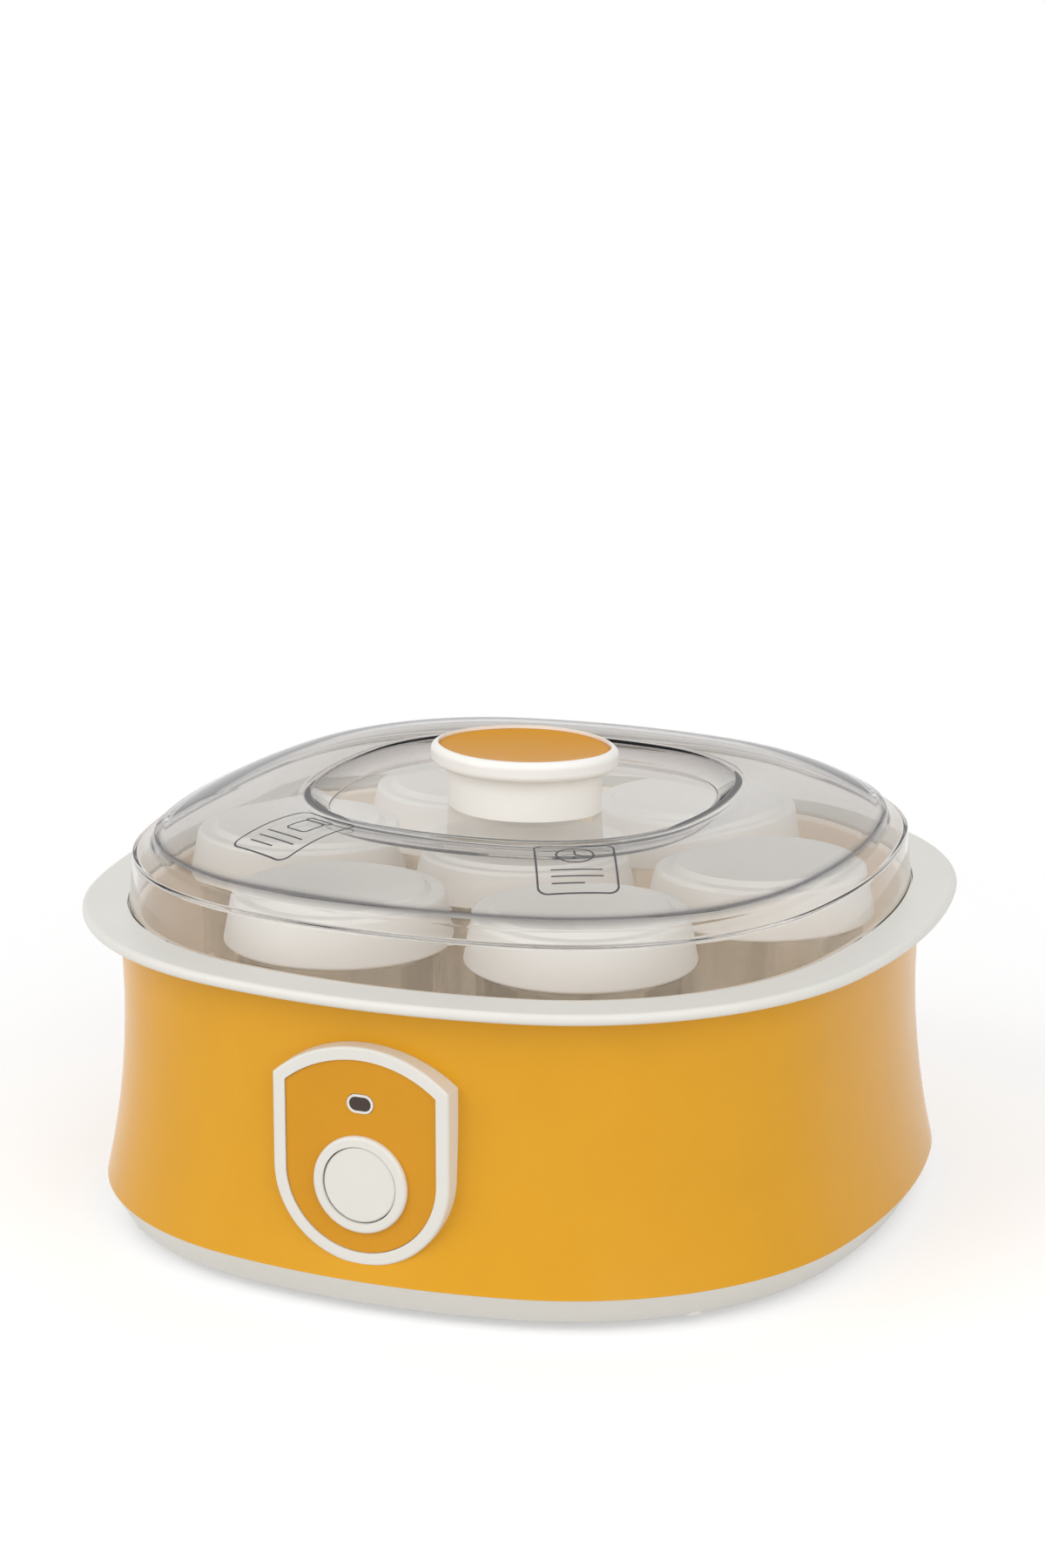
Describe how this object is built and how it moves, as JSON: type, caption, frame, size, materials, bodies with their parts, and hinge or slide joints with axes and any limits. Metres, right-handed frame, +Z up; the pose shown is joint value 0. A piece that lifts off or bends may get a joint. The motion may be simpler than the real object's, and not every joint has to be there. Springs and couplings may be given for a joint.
{
  "type": "yogurt maker",
  "caption": "Bowed-square electric yogurt maker: heated tub of capped glass jars under a clear lift-off lid with an oval knob, push button on the front.",
  "frame": {"origin": "on the table under the middle of the tub", "axes": "+Z up, the control panel faces -Y, +X to the right when facing the panel"},
  "size_m": [0.26, 0.26, 0.1427],
  "materials": {
    "body_orange": "gloss",
    "panel_orange": "satin",
    "white_plastic": "satin",
    "cap_white": "satin",
    "clear_plastic": "gloss",
    "jar_glass": "gloss",
    "tub_beige": "satin",
    "dark_lens": "gloss",
    "lamp_red": "gloss",
    "rubber_grey": "matte",
    "gland_grey": "matte",
    "heater_aluminium": "satin",
    "steel": "satin",
    "inner_plastic": "matte",
    "terminal_white": "matte",
    "board_green": "satin",
    "lead_brown": "satin"
  },
  "bodies": {
    "base": {"rubber_feet": "rubber_grey", "base_pan": "white_plastic", "base_screws": "steel", "body_shell": "body_orange", "top_rim": "white_plastic", "well_liner": "tub_beige", "heater_plate": "heater_aluminium", "heating_element": "steel", "element_clamps": "heater_aluminium", "clamp_screws": "steel", "thermostat": "inner_plastic", "thermostat_screws": "steel", "cord_gland": "gland_grey", "terminal_block": "terminal_white", "terminal_screw": "steel", "internal_leads": "lead_brown", "panel_bezel": "white_plastic", "panel_plate": "panel_orange", "button_ring": "white_plastic", "push_switch": "inner_plastic", "lens_bezel": "white_plastic", "indicator_lens": "dark_lens", "indicator_lamp": "lamp_red", "control_board": "board_green", "board_screws": "steel"},
    "button": {"power_button": "white_plastic", "switch_plunger": "inner_plastic"},
    "lid": {"lid_shell": "clear_plastic", "knob_body": "white_plastic", "knob_inset": "panel_orange", "knob_screws": "steel"},
    "jar_1": {"jar_1": "jar_glass"},
    "cap_1": {"jar_cap_1": "cap_white"},
    "jar_2": {"jar_2": "jar_glass"},
    "cap_2": {"jar_cap_2": "cap_white"},
    "jar_3": {"jar_3": "jar_glass"},
    "cap_3": {"jar_cap_3": "cap_white"},
    "jar_4": {"jar_4": "jar_glass"},
    "cap_4": {"jar_cap_4": "cap_white"},
    "jar_5": {"jar_5": "jar_glass"},
    "cap_5": {"jar_cap_5": "cap_white"},
    "jar_6": {"jar_6": "jar_glass"},
    "cap_6": {"jar_cap_6": "cap_white"},
    "jar_7": {"jar_7": "jar_glass"},
    "cap_7": {"jar_cap_7": "cap_white"}
  },
  "joints": [
    {"name": "button_push", "type": "slide", "parent": "base", "child": "button", "axis": [0, 1, 0], "range_m": [0, 0.0015], "stiffness_N_per_m": 1200, "springref_m": -0.0005},
    {"name": "lid_lift", "type": "slide", "parent": "base", "child": "lid", "axis": [0, 0, 1], "range_m": [0, 0.2]},
    {"name": "jar_1_lift", "type": "slide", "parent": "base", "child": "jar_1", "axis": [0, 0, 1], "range_m": [0, 0.09]},
    {"name": "cap_1_pull", "type": "slide", "parent": "jar_1", "child": "cap_1", "axis": [0, 0, 1], "range_m": [0, 0.04]},
    {"name": "jar_2_lift", "type": "slide", "parent": "base", "child": "jar_2", "axis": [0, 0, 1], "range_m": [0, 0.09]},
    {"name": "cap_2_pull", "type": "slide", "parent": "jar_2", "child": "cap_2", "axis": [0, 0, 1], "range_m": [0, 0.04]},
    {"name": "jar_3_lift", "type": "slide", "parent": "base", "child": "jar_3", "axis": [0, 0, 1], "range_m": [0, 0.09]},
    {"name": "cap_3_pull", "type": "slide", "parent": "jar_3", "child": "cap_3", "axis": [0, 0, 1], "range_m": [0, 0.04]},
    {"name": "jar_4_lift", "type": "slide", "parent": "base", "child": "jar_4", "axis": [0, 0, 1], "range_m": [0, 0.09]},
    {"name": "cap_4_pull", "type": "slide", "parent": "jar_4", "child": "cap_4", "axis": [0, 0, 1], "range_m": [0, 0.04]},
    {"name": "jar_5_lift", "type": "slide", "parent": "base", "child": "jar_5", "axis": [0, 0, 1], "range_m": [0, 0.09]},
    {"name": "cap_5_pull", "type": "slide", "parent": "jar_5", "child": "cap_5", "axis": [0, 0, 1], "range_m": [0, 0.04]},
    {"name": "jar_6_lift", "type": "slide", "parent": "base", "child": "jar_6", "axis": [0, 0, 1], "range_m": [0, 0.09]},
    {"name": "cap_6_pull", "type": "slide", "parent": "jar_6", "child": "cap_6", "axis": [0, 0, 1], "range_m": [0, 0.04]},
    {"name": "jar_7_lift", "type": "slide", "parent": "base", "child": "jar_7", "axis": [0, 0, 1], "range_m": [0, 0.09]},
    {"name": "cap_7_pull", "type": "slide", "parent": "jar_7", "child": "cap_7", "axis": [0, 0, 1], "range_m": [0, 0.04]}
  ],
  "couplings": [
    {"joint": "jar_1_lift", "follows": "lid_lift", "ratio": 0.45},
    {"joint": "cap_1_pull", "follows": "lid_lift", "ratio": 0.2},
    {"joint": "jar_2_lift", "follows": "lid_lift", "ratio": 0.45},
    {"joint": "cap_2_pull", "follows": "lid_lift", "ratio": 0.2},
    {"joint": "jar_3_lift", "follows": "lid_lift", "ratio": 0.45},
    {"joint": "cap_3_pull", "follows": "lid_lift", "ratio": 0.2},
    {"joint": "jar_4_lift", "follows": "lid_lift", "ratio": 0.45},
    {"joint": "cap_4_pull", "follows": "lid_lift", "ratio": 0.2},
    {"joint": "jar_5_lift", "follows": "lid_lift", "ratio": 0.45},
    {"joint": "cap_5_pull", "follows": "lid_lift", "ratio": 0.2},
    {"joint": "jar_6_lift", "follows": "lid_lift", "ratio": 0.45},
    {"joint": "cap_6_pull", "follows": "lid_lift", "ratio": 0.2},
    {"joint": "jar_7_lift", "follows": "lid_lift", "ratio": 0.45},
    {"joint": "cap_7_pull", "follows": "lid_lift", "ratio": 0.2}
  ]
}
